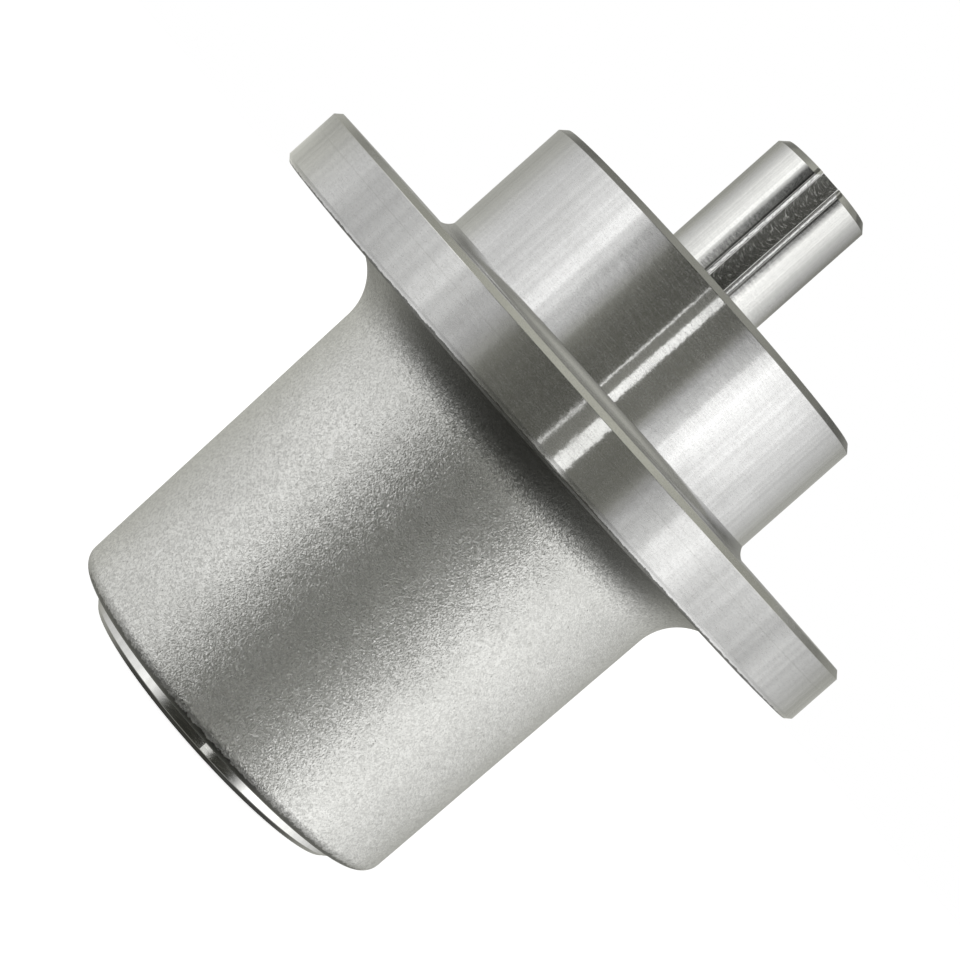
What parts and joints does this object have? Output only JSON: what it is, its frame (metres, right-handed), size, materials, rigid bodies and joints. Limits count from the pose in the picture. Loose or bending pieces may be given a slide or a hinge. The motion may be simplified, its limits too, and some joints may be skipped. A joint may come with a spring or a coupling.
{
  "type": "mower deck spindle",
  "caption": "Blade spindle with a cast housing, round bolting flange, turned pilot, keyed shaft and blade hub, running in two sealed ball bearings.",
  "frame": {"origin": "centre of the flange face that seats against the deck, on the spindle's axis", "axes": "+Z along the shaft towards its keyed pulley end, -Y towards the keyway"},
  "size_m": [0.1524, 0.1524, 0.1665],
  "materials": {
    "cast_aluminium": "as-cast barrel, turned flange and pilot",
    "turned_steel": "fine turned and polished",
    "sleeve_steel": "drawn tube, turned ends",
    "spring_steel": "phosphated and oiled",
    "bearing_steel": "ground and polished",
    "cage_nylon": "moulded",
    "shield_rubber": "moulded, matte",
    "seal_rubber": "moulded, matte"
  },
  "bodies": {
    "housing": {"housing": "cast_aluminium", "snap_ring": "spring_steel", "lower_seal": "seal_rubber", "upper_bearing_outer_race": "bearing_steel", "upper_bearing_top_shield": "shield_rubber", "upper_bearing_bottom_shield": "shield_rubber", "lower_bearing_outer_race": "bearing_steel", "lower_bearing_top_shield": "shield_rubber", "lower_bearing_bottom_shield": "shield_rubber"},
    "spindle": {"spindle_shaft": "turned_steel", "spacer_sleeve": "sleeve_steel", "upper_bearing_inner_race": "bearing_steel", "lower_bearing_inner_race": "bearing_steel"},
    "upper_cage": {"upper_bearing_cage": "cage_nylon"},
    "upper_ball_1": {"upper_bearing_ball_1": "bearing_steel"},
    "upper_ball_2": {"upper_bearing_ball_2": "bearing_steel"},
    "upper_ball_3": {"upper_bearing_ball_3": "bearing_steel"},
    "upper_ball_4": {"upper_bearing_ball_4": "bearing_steel"},
    "upper_ball_5": {"upper_bearing_ball_5": "bearing_steel"},
    "upper_ball_6": {"upper_bearing_ball_6": "bearing_steel"},
    "upper_ball_7": {"upper_bearing_ball_7": "bearing_steel"},
    "upper_ball_8": {"upper_bearing_ball_8": "bearing_steel"},
    "lower_cage": {"lower_bearing_cage": "cage_nylon"},
    "lower_ball_1": {"lower_bearing_ball_1": "bearing_steel"},
    "lower_ball_2": {"lower_bearing_ball_2": "bearing_steel"},
    "lower_ball_3": {"lower_bearing_ball_3": "bearing_steel"},
    "lower_ball_4": {"lower_bearing_ball_4": "bearing_steel"},
    "lower_ball_5": {"lower_bearing_ball_5": "bearing_steel"},
    "lower_ball_6": {"lower_bearing_ball_6": "bearing_steel"},
    "lower_ball_7": {"lower_bearing_ball_7": "bearing_steel"},
    "lower_ball_8": {"lower_bearing_ball_8": "bearing_steel"}
  },
  "joints": [
    {"name": "shaft_spin", "type": "hinge", "parent": "housing", "child": "spindle", "pos_m": [0, 0, 0], "axis": [0, 0, 1], "continuous": true},
    {"name": "upper_cage_spin", "type": "hinge", "parent": "housing", "child": "upper_cage", "pos_m": [0, 0, 0.01615], "axis": [0, 0, 1], "continuous": true},
    {"name": "upper_ball_1_roll", "type": "hinge", "parent": "upper_cage", "child": "upper_ball_1", "pos_m": [0.0255, 0, 0.01615], "axis": [0, 0, 1], "continuous": true},
    {"name": "upper_ball_2_roll", "type": "hinge", "parent": "upper_cage", "child": "upper_ball_2", "pos_m": [0.01803, 0.01803, 0.01615], "axis": [0, 0, 1], "continuous": true},
    {"name": "upper_ball_3_roll", "type": "hinge", "parent": "upper_cage", "child": "upper_ball_3", "pos_m": [0, 0.0255, 0.01615], "axis": [0, 0, 1], "continuous": true},
    {"name": "upper_ball_4_roll", "type": "hinge", "parent": "upper_cage", "child": "upper_ball_4", "pos_m": [-0.01803, 0.01803, 0.01615], "axis": [0, 0, 1], "continuous": true},
    {"name": "upper_ball_5_roll", "type": "hinge", "parent": "upper_cage", "child": "upper_ball_5", "pos_m": [-0.0255, 0, 0.01615], "axis": [0, 0, 1], "continuous": true},
    {"name": "upper_ball_6_roll", "type": "hinge", "parent": "upper_cage", "child": "upper_ball_6", "pos_m": [-0.01803, -0.01803, 0.01615], "axis": [0, 0, 1], "continuous": true},
    {"name": "upper_ball_7_roll", "type": "hinge", "parent": "upper_cage", "child": "upper_ball_7", "pos_m": [0, -0.0255, 0.01615], "axis": [0, 0, 1], "continuous": true},
    {"name": "upper_ball_8_roll", "type": "hinge", "parent": "upper_cage", "child": "upper_ball_8", "pos_m": [0.01803, -0.01803, 0.01615], "axis": [0, 0, 1], "continuous": true},
    {"name": "lower_cage_spin", "type": "hinge", "parent": "housing", "child": "lower_cage", "pos_m": [0, 0, -0.07415], "axis": [0, 0, 1], "continuous": true},
    {"name": "lower_ball_1_roll", "type": "hinge", "parent": "lower_cage", "child": "lower_ball_1", "pos_m": [0.0255, 0, -0.07415], "axis": [0, 0, 1], "continuous": true},
    {"name": "lower_ball_2_roll", "type": "hinge", "parent": "lower_cage", "child": "lower_ball_2", "pos_m": [0.01803, 0.01803, -0.07415], "axis": [0, 0, 1], "continuous": true},
    {"name": "lower_ball_3_roll", "type": "hinge", "parent": "lower_cage", "child": "lower_ball_3", "pos_m": [0, 0.0255, -0.07415], "axis": [0, 0, 1], "continuous": true},
    {"name": "lower_ball_4_roll", "type": "hinge", "parent": "lower_cage", "child": "lower_ball_4", "pos_m": [-0.01803, 0.01803, -0.07415], "axis": [0, 0, 1], "continuous": true},
    {"name": "lower_ball_5_roll", "type": "hinge", "parent": "lower_cage", "child": "lower_ball_5", "pos_m": [-0.0255, 0, -0.07415], "axis": [0, 0, 1], "continuous": true},
    {"name": "lower_ball_6_roll", "type": "hinge", "parent": "lower_cage", "child": "lower_ball_6", "pos_m": [-0.01803, -0.01803, -0.07415], "axis": [0, 0, 1], "continuous": true},
    {"name": "lower_ball_7_roll", "type": "hinge", "parent": "lower_cage", "child": "lower_ball_7", "pos_m": [0, -0.0255, -0.07415], "axis": [0, 0, 1], "continuous": true},
    {"name": "lower_ball_8_roll", "type": "hinge", "parent": "lower_cage", "child": "lower_ball_8", "pos_m": [0.01803, -0.01803, -0.07415], "axis": [0, 0, 1], "continuous": true}
  ],
  "couplings": [
    {"joint": "upper_cage_spin", "follows": "shaft_spin", "ratio": 0.37941},
    {"joint": "upper_ball_1_roll", "follows": "shaft_spin", "ratio": -1.9526},
    {"joint": "upper_ball_2_roll", "follows": "shaft_spin", "ratio": -1.9526},
    {"joint": "upper_ball_3_roll", "follows": "shaft_spin", "ratio": -1.9526},
    {"joint": "upper_ball_4_roll", "follows": "shaft_spin", "ratio": -1.9526},
    {"joint": "upper_ball_5_roll", "follows": "shaft_spin", "ratio": -1.9526},
    {"joint": "upper_ball_6_roll", "follows": "shaft_spin", "ratio": -1.9526},
    {"joint": "upper_ball_7_roll", "follows": "shaft_spin", "ratio": -1.9526},
    {"joint": "upper_ball_8_roll", "follows": "shaft_spin", "ratio": -1.9526},
    {"joint": "lower_cage_spin", "follows": "shaft_spin", "ratio": 0.37941},
    {"joint": "lower_ball_1_roll", "follows": "shaft_spin", "ratio": -1.9526},
    {"joint": "lower_ball_2_roll", "follows": "shaft_spin", "ratio": -1.9526},
    {"joint": "lower_ball_3_roll", "follows": "shaft_spin", "ratio": -1.9526},
    {"joint": "lower_ball_4_roll", "follows": "shaft_spin", "ratio": -1.9526},
    {"joint": "lower_ball_5_roll", "follows": "shaft_spin", "ratio": -1.9526},
    {"joint": "lower_ball_6_roll", "follows": "shaft_spin", "ratio": -1.9526},
    {"joint": "lower_ball_7_roll", "follows": "shaft_spin", "ratio": -1.9526},
    {"joint": "lower_ball_8_roll", "follows": "shaft_spin", "ratio": -1.9526}
  ]
}
